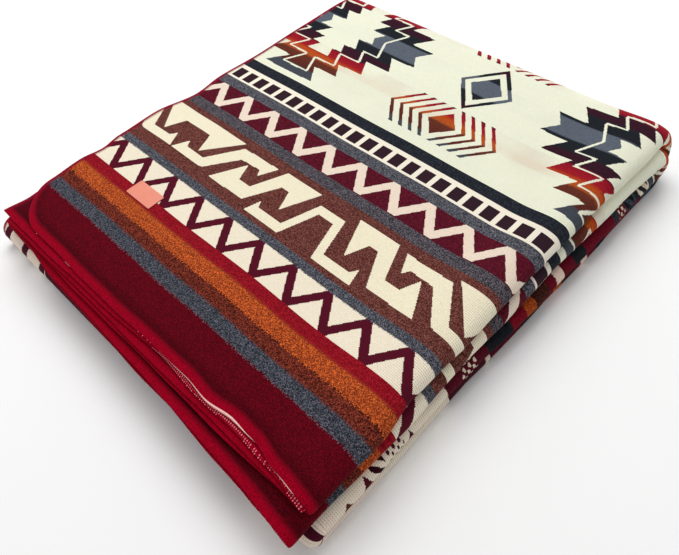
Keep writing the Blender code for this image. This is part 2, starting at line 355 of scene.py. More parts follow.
def make_piece(name, points, faces, slot, sharp=None):
    """Puts points and faces in a mesh, smooth but for edges over the sharp angle, and has it
    ride on the blanket's one body."""
    mesh = bpy.data.meshes.new(name)
    mesh.from_pydata(points, [], faces)
    mesh.update()
    mesh.shade_smooth()
    if sharp is not None:
        mesh.set_sharp_from_angle(angle=np.radians(sharp))
    piece = bpy.data.objects.new(name, mesh)
    bpy.context.scene.collection.objects.link(piece)
    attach(piece, "root")
    return piece


def closed_sheet_faces(columns, rows):
    """Faces of two grids of points that share their outer ring: the upper grid's points come
    first, and then the inner points of the lower grid, whose faces run the other way round."""
    upper = np.arange(columns * rows).reshape(columns, rows)
    lower = upper.copy()
    inner = np.arange((columns - 2) * (rows - 2)).reshape(columns - 2, rows - 2)
    lower[1:-1, 1:-1] = columns * rows + inner
    near, far = slice(0, -1), slice(1, None)
    corners = [(near, near), (far, near), (far, far), (near, far)]
    upper_faces = np.stack([upper[corner].ravel() for corner in corners], axis=-1)
    lower_faces = np.stack([lower[corner].ravel() for corner in corners[::-1]], axis=-1)
    return np.concatenate((upper_faces, lower_faces))


lines_across = stations(ACROSS_RUNS, LAYER_PITCH, ACROSS_CELLS, ACROSS_TURN_CELLS)
lines_along = stations(ALONG_RUNS, BUNDLE_PITCH, ALONG_CELLS, ALONG_TURN_CELLS)
across, along = np.meshgrid(lines_across, lines_along, indexing="ij")
offset = half_thickness(stitched_edge(across, along)[0])
inside = (slice(1, -1), slice(1, -1))
sheet_across = np.concatenate((across.ravel(), across[inside].ravel()))
sheet_along = np.concatenate((along.ravel(), along[inside].ravel()))
sheet_offset = np.concatenate((offset.ravel(), -offset[inside].ravel()))
sheet_points = lay(sheet_across, sheet_along, sheet_offset)

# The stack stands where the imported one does: its middle in plan, and its underside at the floor.
stack_low, stack_high = (np.array(corner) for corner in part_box("blanket"))
laid_low, laid_high = sheet_points.min(axis=0), sheet_points.max(axis=0)
TO_FRAME = (stack_low + stack_high - laid_low - laid_high) / 2
TO_FRAME[2] = stack_low[2] - laid_low[2]


def in_frame(across, along, offset):
    """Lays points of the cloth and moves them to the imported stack's place."""
    return lay(across, along, offset) + TO_FRAME


sheet_faces = closed_sheet_faces(*across.shape)
blanket = make_piece("folded_blanket", sheet_points + TO_FRAME, sheet_faces, "alpaca_weave")
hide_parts("blanket")

# What the weave reads: the place on the cloth, straight where hems and corner are pulled, and its
# side. The border of the end below was cut narrower.
END_CUT = 0.017
END_CUT_FROM = 0.55
END_CUT_OVER = 0.2
first_step, _, _ = step_hems(sheet_across, sheet_along)
from_selvedge, from_hem = round_corner(sheet_across, sheet_along)
woven_across = sheet_across + wander_selvedge(sheet_across, sheet_along) + from_selvedge
woven_along = sheet_along + first_step + from_hem
woven_along -= END_CUT * ease((sheet_along / CLOTH_LENGTH - END_CUT_FROM) / END_CUT_OVER)
woven = np.stack((woven_across, woven_along, np.sign(sheet_offset)), axis=-1)
weave_place = blanket.data.attributes.new("weave_place", "FLOAT_VECTOR", "POINT")
weave_place.data.foreach_set("vector", woven.ravel())

# The place on an edge: the share of the overlocking's width, the distance along, and how far it is
# a hem. Then how far the ribs are opened over the roll side's folds.
_, edge_share, hemward = stitched_edge(sheet_across, sheet_along)
edge_run = hemward * sheet_across + (1 - hemward) * sheet_along
on_edge = np.stack((edge_share, edge_run, hemward), axis=-1)
edge_place = blanket.data.attributes.new("edge_place", "FLOAT_VECTOR", "POINT")
edge_place.data.foreach_set("vector", on_edge.ravel())
OPEN_REACH = 0.085
from_fold = np.abs(np.mod(sheet_across, CLOTH_WIDTH / 2) - CLOTH_WIDTH / 4)
opened = blanket.data.attributes.new("opened", "FLOAT", "POINT")
opened.data.foreach_set("value", ease(1 - from_fold / OPEN_REACH))


# The weave: a double cloth whose two faces swap yarns to make the figure, brushed on both sides.
# The bands are heathers of two yarns, and the figures are stepped by the jacquard's ribs. It
# gives a matt, dry face with speckled bands, crisp cream figures and a soft rim of fibres.
RIB_PITCH_MM = 2.3
COLUMN_PITCH_MM = 1.9
FLECK_MM = 0.8
STITCH_PITCH = 0.0026
WAVER_MM = 7.0
SCATTER_MM = 0.5
HEATHER_SCATTER_MM = 3.6

BANDS = (
    # from mm, darker yarn, lighter yarn, figure yarn
    (0.0, "#500513", "#84081f", "#5a0618"),
    (59.0, "#22262f", "#7a7b87", "#4c5058"),
    (76.0, "#3e1411", "#ae4d39", "#662d24"),
    (92.0, "#82311c", "#ff7f38", "#c2571e"),
    (112.0, "#7f0a1b", "#c12432", "#8b1a24"),
    (127.0, "#f7ecd6", "#fff8e8", "#5c1428"),
    (168.0, "#2c2e36", "#8a8b95", "#515158"),
    (180.0, "#4e231e", "#9f6259", "#fdf5dc"),
    (272.0, "#2b2930", "#888088", "#524c52"),
    (288.0, "#4d0e1e", "#7a2236", "#f9e9d8"),
    (329.5, "#2e2f37", "#8f8e98", "#57565d"),
    (345.5, "#fbf3e2", "#fdf8ea", "#37222c"),
    (375.5, "#191c23", "#3e444d", "#2b2e33"),
    (393.0, "#f1f2dd", "#fdfdea", "#5e6672"),
    (662.0, "#191c23", "#30353c", "#eadcc6"),
    (692.0, "#2b303a", "#5c626c", "#191c23"),
    (715.0, "#5a1020", "#7c162c", "#eadcc6"),
    (730.0, "#20242b", "#4a505a", "#14171b"),
    (740.0, "#5c0c1e", "#80142c", "#4c0a18"),
    (798.0, "#14171b", "#2a2f36", "#14171b"),
    (818.0, "#5a0c1c", "#78142a", "#4c0a18"),
    (838.0, "#ecd2c4", "#f6e6d6", "#4c0a18"),
    (851.0, "#5a0c1c", "#78142a", "#4c0a18"),
    (864.0, "#2a1512", "#5e2e22", "#14171b"),
    (888.0, "#8a3416", "#d46a2a", "#7c3214"),
    (905.0, "#6a0a1a", "#9a162c", "#4c0a18"),
    (928.0, "#14171b", "#262b32", "#14171b"),
    (966.0, "#4a0c1c", "#6c1a2e", "#eadcc8"),
    (1028.0, "#f2e6d2", "#faf0e0", "#4a1a28"),
    (1117.0, "#f2e6d2", "#faf0e0", "#340c18"),
    (1136.0, "#f2e6d2", "#faf0e0", "#541424"),
    (1156.0, "#f2e6d2", "#faf0e0", "#5c2a18"),
    (1186.0, "#f4e2d2", "#fbeee0", "#4e1226"),
)
HEATHER_END_MM = 124.0

# The plain field's middle and half height, and its row of motifs.
FIELD_MM = (527.5, 134.5)
MOTIF_ROW_MM = 534.0
MOTIF_REACH_MM = 131.0

# The weft under the motifs changes colour from row to row, the same on both sides of each row's
# middle line, where a motif's slate centre lies.
MOTIF_WEFT = (
    # from mm off the middle line of a row of motifs, yarn
    (0.0, "#626a76"), (15.0, "#626a76"), (17.0, "#22272d"), (35.0, "#22272d"),
    (39.0, "#3a1b29"), (54.0, "#3a1b29"), (57.0, "#96142a"), (71.0, "#a8202a"),
    (77.0, "#c2501f"), (86.0, "#bb5a26"), (90.0, "#6e3527"), (112.0, "#5f2c26"),
    (116.0, "#4a4f58"), (130.0, "#4a4f58"),
)

# Marks of the border in the middle of the cloth, of which only the rolled edge and the fold show.
# The upper half of the cloth has diamonds by column, row, half width and half height, rows of
# teeth and of checks by row and half height, and two bars. The lower half has one bar. In the
# fold there are gaps between cream patches, and past the patches the fold takes the dark wine
# yarn as painted shade.
ROLL_REACH_MM = 70.0
ROLL_DIAMONDS_MM = ((535.0, 1170.0, 14.0, 11.0), (531.0, 1144.0, 14.0, 8.0), (536.0, 1082.0, 16.0, 8.0))
ROLL_TEETH_MM = ((1127.0, 9.0), (704.0, 9.0), (674.0, 11.0))
ROLL_CHECKS_MM = ((1103.0, 11.0), (994.5, 12.5), (722.5, 6.5))
ROLL_BARS_MM = ((1204.0, 3.0), (1219.0, 1.8))
LOWER_BARS_MM = ((1054.0, 33.0),)
TOOTH_MM = 7.0
CHECK_MM = 4.0
CHECK_LEVEL = 0.25
FOLD_ROW_MM = 1190.0
FOLD_PAINTED_SHADE_FROM_MM = 100.0
FOLD_PATCH_PITCH_MM = 40.0
FOLD_PATCH_START_MM = 17.8
FOLD_PATCH_GAP_HALF_MM = 6.0
FOLD_PATCH_SLANT = 0.5


def linear(hex_colour):
    """The linear colour of an sRGB hex value, by the sRGB curve."""
    values = np.array([int(hex_colour[i:i + 2], 16) for i in (1, 3, 5)]) / 255
    curve = np.where(values <= 0.04045, values / 12.92, ((values + 0.055) / 1.055) ** 2.4)
    return (*curve.tolist(), 1.0)


def in_use(sockets):
    """The sockets that a node's settings leave in use."""
    return [socket for socket in sockets if socket.enabled]


def add_node(tree, kind, *values, **settings):
    """Adds a shader node with its settings. After a full stop its kind may name the operation, or
    the type that it mixes. The values go to its sockets in use, in order: another node gives its
    first output in use, an output is linked, and anything else is the socket's own value."""
    kind, _, choice = kind.partition(".")
    node = tree.nodes.new("ShaderNode" + kind)
    if choice:
        setattr(node, "data_type" if kind == "Mix" else "operation", choice)
    for name, value in settings.items():
        setattr(node, name, value)
    for socket, value in zip(in_use(node.inputs), values):
        if isinstance(value, bpy.types.Node):
            value = in_use(value.outputs)[0]
        if isinstance(value, bpy.types.NodeSocket):
            tree.links.new(value, socket)
        else:
            socket.default_value = value
    return node


def chart_line(tree, value, reach, points):
    """A broken line through a few points of a chart, both in millimetres: gives the line's
    height at a value from 0 to reach. Heights are stored as shares of their own range."""
    low = min(height for _, height in points)
    span = max(height for _, height in points) - low or 1.0
    line = add_node(tree, "FloatCurve", 1.0, add_node(tree, "Math.DIVIDE", value, reach))
    curve = line.mapping.curves[0]
    shares = [(place / reach, (height - low) / span) for place, height in points]
    if shares[0][0] > 0:
        shares.insert(0, (0.0, shares[0][1]))
    if shares[-1][0] < 1:
        shares.append((1.0, shares[-1][1]))
    while len(curve.points) < len(shares):
        curve.points.new(0.5, 0.5)
    for point, share in zip(curve.points, shares):
        point.location = share
        point.handle_type = "VECTOR"
    line.mapping.update()
    return add_node(tree, "Math.MULTIPLY_ADD", line, span, low)


def distance_from(tree, value, level):
    """How far a value is from a level, above it or below it."""
    moved = add_node(tree, "Math.SUBTRACT", value, level)
    return add_node(tree, "Math.ABSOLUTE", moved)


def mirrored(tree, value, centre, half):
    """The distance to the nearest of the lines at centre plus any even number of halves."""
    moved = add_node(tree, "Math.SUBTRACT", value, centre)
    return add_node(tree, "Math.PINGPONG", moved, half)


def ripple(tree, value, pitch):
    """A cosine wave along a value, with one crest to each pitch."""
    turned = add_node(tree, "Math.MULTIPLY", value, 2 * np.pi / pitch)
    return add_node(tree, "Math.COSINE", turned)


def all_of(tree, *masks):
    """One where every mask is one: their product."""
    result = masks[0]
    for mask in masks[1:]:
        result = add_node(tree, "Math.MULTIPLY", result, mask)
    return result


def any_of(tree, *masks):
    """One where any mask is one: their maximum."""
    result = masks[0]
    for mask in masks[1:]:
        result = add_node(tree, "Math.MAXIMUM", result, mask)
    return result


def zigzag_band(tree, column, row, top, slope_height, first_peak, half, half_stroke, low, high):
    """A zigzag line: rows within half a stroke of a triangle wave, cut off at low and high."""
    from_peak = mirrored(tree, column, first_peak, half)
    line = add_node(tree, "Math.MULTIPLY_ADD", from_peak, slope_height / half, top)
    stroke = add_node(tree, "Math.COMPARE", row, line, half_stroke)
    band = add_node(tree, "Math.COMPARE", row, (low + high) / 2, (high - low) / 2)
    return all_of(tree, stroke, band)


# The two zigzag bands and the row of dark squares.
ZIGZAGS_MM = (
    # top of the line, height of a slope, first peak, from peak to valley, half stroke, from, to
    (128.5, 37.0, 41.0, 26.75, 8.5, 127.0, 168.0),
    (291.5, 36.0, 46.0, 26.3, 9.2, 289.0, 329.5),
)
SQUARE_MIRROR_MM = (13.0, 22.65 / 2)
SQUARE_HALF_WIDTH_MM = 8.0
SQUARE_ROWS_MM = (358.8, 9.3)

# The key band's four figures between two mirror lines, each between an upper and a lower broken
# line, in mm from the first mirror line and from the hem.
KEY_MIRROR_MM = (66.0, 245.5)
KEY_FIGURES = (
    (((0, 243), (25, 243), (37, 215), (77, 263)),
     ((0, 263), (77, 263))),
    (((1, 198), (64, 199), (94, 240), (125, 242), (131, 233), (143, 258)),
     ((1, 198), (13, 220), (19, 211), (52, 211), (82, 256), (143, 258))),
    (((84, 195), (146, 196), (169, 240), (181, 240), (193, 212), (215, 262)),
     ((84, 195), (108, 239), (118, 216), (138, 216), (157, 262), (215, 262))),
    (((161, 187), (218, 187), (234, 237), (245.5, 237)),
     ((161, 187), (167, 209), (172, 200), (211, 200), (226, 249), (245.5, 249))),
)

# The stepped diamond of the motif row, in mm off the row's middle line: half the width of its
# outline, of the plain field inside it, and of the thin line that runs around between them.
STEPPED_MIRROR_MM = (62.0, 239.0)
STEPPED_OUTSIDE = (
    (0, 123), (21, 138), (21.5, 98), (49, 118), (49.5, 75), (77, 92),
    (77.5, 49), (101, 67), (101.5, 25), (130, 47), (131, 0),
)
STEPPED_INSIDE = (
    (0, 43), (14, 52), (14.5, 26), (37, 41), (37.5, 19), (54, 29), (54.5, 12), (72, 21), (72.5, 0),
)
STEPPED_LINE = (
    (0, 65), (33, 81), (33.5, 54), (57, 68), (57.5, 31), (84, 46), (84.5, 8), (116, 24), (116.5, -4),
)
STEPPED_LINE_HALF_MM = 1.3

# The open diamond and the arrowed diamond that stand between two stepped ones.
SMALL_MIRROR_MM = (305.0, 240.0)
OPEN_DIAMOND = ((41.0, 51.0), (34.0, 42.0), (24.5, 29.0))
ARROW_ROW_MM = 89.0
ARROW_DIAMOND = (21.0, 25.0)
ARROW_TIPS_MM = (37.0, 52.5, 68.0, 84.0)
ARROW_STROKE_MM = 6.0
ARROW_SLOPE = 0.78
ARROW_HEIGHT_MM = 35.0


def diamond(tree, aside, away, half_width, half_height):
    """One inside a diamond: where the shares of its half width and half height sum to under 1."""
    wide = add_node(tree, "Math.DIVIDE", aside, half_width)
    sum_of_shares = add_node(tree, "Math.MULTIPLY_ADD", away, 1 / half_height, wide)
    return add_node(tree, "Math.LESS_THAN", sum_of_shares, 1.0)


def stepped_diamond(tree, column, away):
    """Between the inside and the outside line, less the thin line with its level steps."""
    aside = mirrored(tree, column, *STEPPED_MIRROR_MM)
    outside = chart_line(tree, away, MOTIF_REACH_MM, STEPPED_OUTSIDE)
    outside = add_node(tree, "Math.LESS_THAN", aside, outside)
    inside = chart_line(tree, away, MOTIF_REACH_MM, STEPPED_INSIDE)
    inside = add_node(tree, "Math.GREATER_THAN", aside, inside)
    half = STEPPED_LINE_HALF_MM
    shifted = [distance_from(tree, away, shift) for shift in (half, -half)]
    sides = [chart_line(tree, value, MOTIF_REACH_MM, STEPPED_LINE) for value in shifted]
    nearer = add_node(tree, "Math.SUBTRACT", add_node(tree, "Math.MINIMUM", *sides), half)
    nearer = add_node(tree, "Math.LESS_THAN", aside, nearer)
    farther = add_node(tree, "Math.ADD", add_node(tree, "Math.MAXIMUM", *sides), half)
    farther = add_node(tree, "Math.GREATER_THAN", aside, farther)
    return all_of(tree, outside, inside, any_of(tree, nearer, farther))


def small_diamonds(tree, column, away):
    """The open diamond, its core, the arrowed diamond and the four arrows on each side of it."""
    aside = mirrored(tree, column, *SMALL_MIRROR_MM)
    rim, hole, core = (diamond(tree, aside, away, *size) for size in OPEN_DIAMOND)
    ring = add_node(tree, "Math.SUBTRACT", rim, hole)
    beyond = distance_from(tree, away, ARROW_ROW_MM)
    figures = [ring, core, diamond(tree, aside, beyond, *ARROW_DIAMOND)]
    slanted = add_node(tree, "Math.MULTIPLY_ADD", beyond, ARROW_SLOPE, aside)
    short = add_node(tree, "Math.LESS_THAN", beyond, ARROW_HEIGHT_MM)
    for tip in ARROW_TIPS_MM:
        middle = tip - ARROW_STROKE_MM / 2
        arrow = add_node(tree, "Math.COMPARE", slanted, middle, ARROW_STROKE_MM / 2)
        figures.append(all_of(tree, arrow, short))
    return any_of(tree, *figures)


def middle_border(tree, column, row, above):
    """The small figures of the middle border: near the rolls the teeth are shares of the sum of
    column and row, and the checks the product of two cosines. In the fold the gaps between
    patches are a slanted grating, and past the patches the whole fold takes the dark wine yarn
    as painted shade."""
    from_turn = mirrored(tree, column, CLOTH_WIDTH * 250, CLOTH_WIDTH * 250)
    at_roll = add_node(tree, "Math.LESS_THAN", from_turn, ROLL_REACH_MM)
    below = add_node(tree, "Math.SUBTRACT", 1.0, above)
    masks = []
    for middle, level, half_width, half_height in ROLL_DIAMONDS_MM:
        aside, beyond = distance_from(tree, column, middle), distance_from(tree, row, level)
        masks.append(all_of(tree, diamond(tree, aside, beyond, half_width, half_height), above))
    teeth = mirrored(tree, add_node(tree, "Math.ADD", column, row), 0.0, TOOTH_MM)
    teeth = add_node(tree, "Math.LESS_THAN", teeth, TOOTH_MM / 2)
    cosines = (ripple(tree, place, 2 * CHECK_MM) for place in (column, row))
    checks = add_node(tree, "Math.GREATER_THAN", all_of(tree, *cosines), CHECK_LEVEL)
    sets = (
        (all_of(tree, teeth, above), ROLL_TEETH_MM),
        (all_of(tree, checks, above), ROLL_CHECKS_MM),
        (above, ROLL_BARS_MM),
        (below, LOWER_BARS_MM),
    )
    for figure, places in sets:
        for level, half_height in places:
            rows = add_node(tree, "Math.COMPARE", row, level, half_height)
            masks.append(all_of(tree, figure, rows, at_roll))
    gaps = add_node(tree, "Math.MULTIPLY_ADD", row, FOLD_PATCH_SLANT, column)
    gaps = mirrored(tree, gaps, FOLD_PATCH_START_MM, FOLD_PATCH_PITCH_MM / 2)
    gaps = add_node(tree, "Math.LESS_THAN", gaps, FOLD_PATCH_GAP_HALF_MM)
    # Past the last patch the fold is painted shade in dark wine.
    plain = add_node(tree, "Math.GREATER_THAN", column, FOLD_PAINTED_SHADE_FROM_MM)
    past_roll = add_node(tree, "Math.GREATER_THAN", from_turn, ROLL_REACH_MM)
    in_fold = add_node(tree, "Math.GREATER_THAN", row, FOLD_ROW_MM)
    masks.append(all_of(tree, any_of(tree, gaps, plain), past_roll, in_fold))
    return any_of(tree, *masks)


def figure_mask(tree, column, row, away, above):
    """One where the figure yarn is on this face of the cloth."""
    key_aside = mirrored(tree, column, *KEY_MIRROR_MM)
    masks = []
    for upper, lower in KEY_FIGURES:
        over = chart_line(tree, key_aside, KEY_MIRROR_MM[1], upper)
        under = chart_line(tree, key_aside, KEY_MIRROR_MM[1], lower)
        over = add_node(tree, "Math.GREATER_THAN", row, over)
        masks.append(all_of(tree, over, add_node(tree, "Math.LESS_THAN", row, under)))
    masks.extend(zigzag_band(tree, column, row, *zigzag) for zigzag in ZIGZAGS_MM)
    squares = mirrored(tree, column, *SQUARE_MIRROR_MM)
    squares = add_node(tree, "Math.LESS_THAN", squares, SQUARE_HALF_WIDTH_MM)
    square_rows = add_node(tree, "Math.COMPARE", row, *SQUARE_ROWS_MM)
    masks.append(all_of(tree, squares, square_rows))
    masks.append(stepped_diamond(tree, column, away))
    masks.append(small_diamonds(tree, column, away))
    masks.append(middle_border(tree, column, row, above))
    return any_of(tree, *masks)


def begin_material(name):
    """A new material and its node tree."""
    material = bpy.data.materials.new(name)
    material.use_nodes = True
    return material, material.node_tree


def finish_material(tree, settings, colour=None, bump=None):
    """Sets the shader's own sockets, and links its colour and its bump where they are given."""
    shader = tree.nodes["Principled BSDF"]
    for name, value in settings.items():
        shader.inputs[name].default_value = value
    if colour:
        tree.links.new(in_use(colour.outputs)[0], shader.inputs["Base Color"])
    if bump:
        tree.links.new(bump.outputs["Normal"], shader.inputs["Normal"])


def brushed_weave():
    """The blanket's cloth, worked out in millimetres on the cloth itself."""
    material, tree = begin_material("brushed alpaca double weave")
    place = add_node(tree, "Attribute", attribute_name="weave_place")
    split = add_node(tree, "SeparateXYZ", place.outputs["Vector"])
    edge = add_node(tree, "Attribute", attribute_name="edge_place")
    edge = add_node(tree, "SeparateXYZ", edge.outputs["Vector"])
    opened = add_node(tree, "Attribute", attribute_name="opened").outputs["Fac"]
    across_mm = add_node(tree, "Math.MULTIPLY", split.outputs["X"], 1000.0)
    along_mm = add_node(tree, "Math.MULTIPLY", split.outputs["Y"], 1000.0)

    # Rows are counted from the nearer hem, and waver by a few millimetres as hand-fed cloth does.
    half_cloth = CLOTH_LENGTH * 500
    from_hem = add_node(tree, "Math.PINGPONG", along_mm, half_cloth)
    waver = add_node(tree, "TexNoise", place.outputs["Vector"], 6.0, 1.0, 0.4)
    waver = add_node(tree, "Math.MULTIPLY_ADD", waver, WAVER_MM, -WAVER_MM / 2)
    from_hem = add_node(tree, "Math.ADD", from_hem, waver)
    row = add_node(tree, "Math.SNAP", from_hem, RIB_PITCH_MM / 2)
    column = add_node(tree, "Math.SNAP", across_mm, COLUMN_PITCH_MM / 2)

    # One random number for each fleck of yarn.
    fleck_place = add_node(tree, "CombineXYZ", across_mm, along_mm, split.outputs["Z"])
    fleck_place = add_node(tree, "VectorMath.SNAP", fleck_place, (FLECK_MM,) * 3)
    fleck = add_node(tree, "TexWhiteNoise", fleck_place, noise_dimensions="3D")

    # The row of motifs stands in the plain field.
    away = distance_from(tree, row, MOTIF_ROW_MM)
    away = add_node(tree, "Math.MINIMUM", away, MOTIF_REACH_MM)
    in_field = add_node(tree, "Math.COMPARE", row, *FIELD_MM)

    # The two yarns of each band and its figure yarn, one band laid over the one before.
    loose = add_node(tree, "Math.LESS_THAN", row, HEATHER_END_MM)
    loose = add_node(tree, "Math.MULTIPLY_ADD", loose, HEATHER_SCATTER_MM, SCATTER_MM)
    scatter = add_node(tree, "Math.SUBTRACT", fleck, 0.5)
    band_row = add_node(tree, "Math.MULTIPLY_ADD", scatter, loose, row)
    darker, lighter, figure = (linear(yarn) for yarn in BANDS[0][1:])
    for start, *yarns in BANDS[1:]:
        past = add_node(tree, "Math.GREATER_THAN", band_row, start)
        darker = add_node(tree, "Mix.RGBA", past, darker, linear(yarns[0]))
        lighter = add_node(tree, "Mix.RGBA", past, lighter, linear(yarns[1]))
        figure = add_node(tree, "Mix.RGBA", past, figure, linear(yarns[2]))

    weft = add_node(tree, "ValToRGB", add_node(tree, "Math.DIVIDE", away, MOTIF_REACH_MM))
    stops = weft.color_ramp.elements
    while len(stops) < len(MOTIF_WEFT):
        stops.new(0.5)
    for stop, (start, yarn) in zip(stops, MOTIF_WEFT):
        stop.position = start / MOTIF_REACH_MM
        stop.color = linear(yarn)
    figure = add_node(tree, "Mix.RGBA", in_field, figure, weft)

    # Heathers mix their two yarns fleck by fleck.
    blend = add_node(tree, "Math.POWER", fleck, 2.3)
    ground = add_node(tree, "Mix.RGBA", blend, darker, lighter)
    uneven = add_node(tree, "Math.MULTIPLY_ADD", in_field, 0.36, 0.14)
    tint = add_node(tree, "Math.MULTIPLY_ADD", scatter, uneven, 0.97)
    figure = add_node(tree, "Mix.RGBA", 1.0, figure, tint, blend_type="MULTIPLY")

    # Behind the brushed field the red and orange weft shows through in soft clouds.
    clouds = add_node(tree, "TexNoise", place.outputs["Vector"], 13.0, 2.0, 0.5)
    clouds = add_node(tree, "MapRange", clouds, 0.40, 0.70, 0.0, 0.45)
    redness = add_node(tree, "SeparateColor", weft)
    shown = all_of(tree, in_field, clouds, redness)
    ground = add_node(tree, "Mix.RGBA", shown, ground, weft)

    # The figure shows on the good side, and its negative on the other.
    above = add_node(tree, "Math.GREATER_THAN", along_mm, half_cloth)
    mask = figure_mask(tree, column, row, away, above)
    wrong_side = add_node(tree, "Math.LESS_THAN", split.outputs["Z"], 0.0)
    swapped = distance_from(tree, mask, wrong_side)
    face = add_node(tree, "Mix.RGBA", swapped, ground, figure)

    # Painted shade darkens the grooves between the ribs of pale yarn, and the dark binding yarn shows
    # at points in them where a fold opens the ribs. Dark yarn is felted over.
    rib = ripple(tree, from_hem, RIB_PITCH_MM)
    binding = ripple(tree, across_mm, COLUMN_PITCH_MM)
    line = add_node(tree, "MapRange", rib, 0.35, 1.0, 0.0, 1.0)
    point = add_node(tree, "MapRange", binding, 0.0, 0.8, 0.0, 1.0)
    point = add_node(tree, "Math.MULTIPLY", point, opened)
    point = add_node(tree, "Math.MULTIPLY_ADD", point, 0.45, 0.15)
    paleness = add_node(tree, "RGBToBW", face)
    paleness = add_node(tree, "MapRange", paleness, 0.10, 0.50, 0.15, 1.0)
    point = all_of(tree, point, line, paleness)
    # The brown mix is painted groove shade, with the real binding points in it.
    face = add_node(tree, "Mix.RGBA", point, face, linear("#4a3c34"))

    # The nap dips beside the needle line of the overlocking on the cut ends: a dark band of painted
    # shade stands for the dip's shade.
    needle_groove_shade = add_node(tree, "MapRange", edge.outputs["X"], 0.9, 1.3, 0.0, 0.4)
    needle_groove_shade_fade = add_node(tree, "MapRange", edge.outputs["X"], 1.3, 2.4, 1.0, 0.0)
    needle_groove_shade = all_of(tree, needle_groove_shade, needle_groove_shade_fade, edge.outputs["Z"])
    face = add_node(tree, "Mix.RGBA", needle_groove_shade, face, linear("#240206"))

    # Crimson thread covers the cut ends, and darker wine thread the selvedges.
    worn = add_node(tree, "Math.MULTIPLY_ADD", scatter, 0.16, edge.outputs["X"])
    stitched = add_node(tree, "MapRange", worn, 0.6, 1.2, 1.0, 0.0)
    crimson = add_node(tree, "Mix.RGBA", fleck, linear("#850017"), linear("#b40228"))
    thread = add_node(tree, "Mix.RGBA", edge.outputs["Z"], linear("#8c0a2a"), crimson)
    face = add_node(tree, "Mix.RGBA", stitched, face, thread)

    # Ribs, stitches and loose fibres give the relief.
    stitches = ripple(tree, edge.outputs["Y"], STITCH_PITCH)
    ridges = add_node(tree, "Mix.FLOAT", stitched, rib, stitches)
    fibres = add_node(tree, "TexNoise", place.outputs["Vector"], 900.0, 3.0, 0.6)
    relief = add_node(tree, "Math.MULTIPLY_ADD", ridges, -0.35, fibres)
    bump = add_node(tree, "Bump", 0.4, 0.0006, 1.0, relief)

    dry = {"Roughness": 0.92, "Diffuse Roughness": 0.6, "Specular IOR Level": 0.03}
    nap = {"Sheen Weight": 0.015, "Sheen Roughness": 0.5, "Sheen Tint": linear("#fff2e6")}
    finish_material(tree, dry | nap, face, bump)
    return material


blanket.data.materials.append(brushed_weave())


# The edge thread: the pink looper thread of the overlocking, worked over the rims of both cut
# ends. It shows as dots where stitches lie open, and as a drawn strand in two places where the
# top hem lifts. The strand is the same pink thread, coloured a lighter peach as a painted
# highlight where it catches the light.
TICK_HALF_WIDTH = 0.0007
TICK_HEIGHT = 0.0007
TICK_REACH = 0.10
TICK_SHAPE = (0.35, 0.85, 1.0, 0.85, 0.35)
TICKS = (
    # at the far end or not, from and to across the cloth, where on the rim, how far they stand out
    (False, 0.061, 0.066, 0.1, 1.1),
    (False, 0.129, 0.138, 0.0, 0.5),
    (False, 0.270, 0.292, 0.0, 0.4),
    (False, 1.690, 1.796, -0.45, 1.3),
    (False, 1.612, 1.652, -0.45, 1.2),
    (False, 1.571, 1.768, -0.78, 1.0),
    (False, 1.571, 1.590, -0.35, 1.2),
    (True, 0.105, 0.150, -0.5, 0.3),
    (True, 0.443, 0.524, -0.45, 0.8),
)
STRAND_STEP = 0.0012
STRAND_SIDES = 8
STRAND_THINNEST = 0.00012
STRAND_SWELL = 2.1
STRAND_TURN = -0.25
STRAND_LIFT = 0.0002
STRAND_FLATNESS = 0.35
STRANDS = (
    # from and to across the cloth, and the widest radius
    (0.305, 0.448, 0.0017),
    (0.477, 0.506, 0.0009),
)


def off_the_rim(across_in, far, turn, out):
    """Points that stand off the rim of a cut end: on its round profile at a turn from -1 to 1,
    then outwards along the line from the middle of the round."""
    across_in, turn, out = np.broadcast_arrays(across_in, turn, out)
    profile = turn * CLOTH_THICKNESS / 2
    inward = EDGE_ROUND * (1 - np.sqrt(1 - turn**2))
    along_in = CLOTH_LENGTH - inward if far else inward
    on_rim = in_frame(across_in, along_in, profile)
    middle = in_frame(across_in, abs(CLOTH_LENGTH * far - EDGE_ROUND), 0.0 * profile)
    outwards = on_rim - middle
    outwards /= np.linalg.norm(outwards, axis=-1, keepdims=True)
    return on_rim + outwards * out[..., None]


def tube_faces(tubes, rings, sides):
    """Faces of many short tubes: quads between rings, and one face that closes each end."""
    index = np.arange(tubes * rings * sides).reshape(tubes, rings, sides)
    following = np.roll(index, -1, axis=2)
    quads = np.stack((index[:, :-1], following[:, :-1], following[:, 1:], index[:, 1:]), axis=-1)
    ends = np.concatenate((index[:, 0, ::-1], index[:, -1, :]))
    return quads.reshape(-1, 4).tolist() + ends.tolist()


def rim_ticks(far, start, end, middle, stand):
    """Short tubes over the rim, one for each stitch of a stretch: a diamond section carried over
    a place on the round profile. Slow sine waves sink some of them into the cloth."""
    places = np.arange(start, end, STITCH_PITCH)
    turn = middle + TICK_REACH * np.linspace(-1, 1, len(TICK_SHAPE))
    sunk = np.sin(places * 61.0 + far) + np.sin(places * 911.0) + np.sin(places * 1523.0)
    sunk = TICK_HEIGHT * np.clip(stand - 0.7 + 0.6 * sunk, -1.4, 0.6)
    thick = np.array(TICK_SHAPE)[None, :, None]
    across_in = places[:, None, None] + TICK_HALF_WIDTH * thick * np.array((0.0, 1.0, 0.0, -1.0))
    out = sunk[:, None, None] + TICK_HEIGHT * thick * np.array((1.0, 0.0, -1.0, 0.0))
    points = off_the_rim(across_in, far, turn[None, :, None], out)
    return points.reshape(-1, 3), tube_faces(*out.shape)


